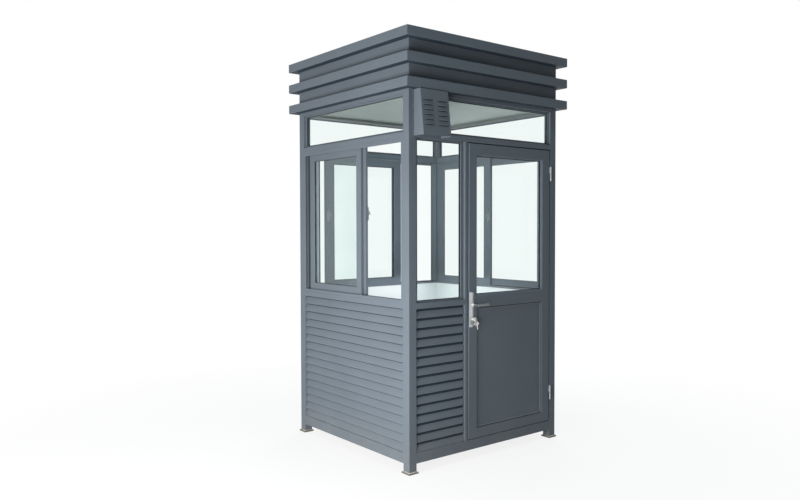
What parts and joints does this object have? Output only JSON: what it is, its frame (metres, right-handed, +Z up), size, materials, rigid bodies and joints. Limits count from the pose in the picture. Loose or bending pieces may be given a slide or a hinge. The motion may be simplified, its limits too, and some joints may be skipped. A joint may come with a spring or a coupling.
{
  "type": "security guard booth",
  "caption": "Free-standing metal security guard booth with louvred lower walls, sliding windows, a hinged half-glazed door, a banded box canopy and a vent hood.",
  "frame": {"origin": "on the ground at the middle of the whole outline, canopy bands and vent hood included", "axes": "+X along the door wall towards the hinge post, +Y from the door wall to the back wall, +Z up"},
  "size_m": [1.462, 1.431, 2.709],
  "materials": {
    "frame_metal": "satin powder coat, blue-grey",
    "clear_glass": "clear, faintly green",
    "white_lining": "smooth matt white sheet",
    "floor_sheet": "dull mill finish",
    "bare_steel": "satin stainless",
    "foot_steel": "worn grey zinc"
  },
  "bodies": {
    "root": {"front_left_post": "frame_metal", "front_right_post": "frame_metal", "back_left_post": "frame_metal", "back_right_post": "frame_metal", "foot_plates": "foot_steel", "base_rails": "frame_metal", "floor_bearers": "foot_steel", "floor_panel": "floor_sheet", "sill_rails": "frame_metal", "transom_rails": "frame_metal", "top_rails": "frame_metal", "front_mullion": "frame_metal", "front_louvres": "frame_metal", "left_louvres": "frame_metal", "back_louvres": "frame_metal", "right_louvres": "frame_metal", "front_lining": "white_lining", "left_lining": "white_lining", "back_lining": "white_lining", "right_lining": "white_lining", "front_window_frame": "frame_metal", "front_window_glass": "clear_glass", "left_window_frame": "frame_metal", "left_outer_sash": "frame_metal", "left_inner_sash": "frame_metal", "left_window_glass": "clear_glass", "back_window_frame": "frame_metal", "back_outer_sash": "frame_metal", "back_inner_sash": "frame_metal", "back_window_glass": "clear_glass", "right_window_frame": "frame_metal", "right_outer_sash": "frame_metal", "right_inner_sash": "frame_metal", "right_window_glass": "clear_glass", "window_catches": "bare_steel", "clerestory_frames": "frame_metal", "clerestory_glass": "clear_glass", "door_stops": "frame_metal", "post_hinge_halves": "bare_steel", "ceiling_panel": "white_lining", "cornice_trim": "white_lining", "canopy_fascia": "frame_metal", "lower_band": "frame_metal", "middle_band": "frame_metal", "upper_band": "frame_metal", "roof_deck": "frame_metal", "vent_hood": "frame_metal"},
    "door": {"door_leaf_frame": "frame_metal", "door_glass": "clear_glass", "door_panel": "frame_metal", "door_hinge_halves": "bare_steel", "lock_plates": "bare_steel", "lock_keys": "bare_steel"},
    "lever": {"door_lever": "bare_steel"}
  },
  "joints": [
    {"name": "door_hinge", "type": "hinge", "parent": "root", "child": "door", "pos_m": [0.61125, -0.6285, 1.09], "axis": [0, 0, 1], "range_deg": [0, 110]},
    {"name": "lever_turn", "type": "hinge", "parent": "door", "child": "lever", "pos_m": [-0.1505, -0.6225, 1.009], "axis": [0, 1, 0], "range_deg": [0, 40], "stiffness_Nm_per_rad": 0.8, "springref_deg": -20.05}
  ]
}
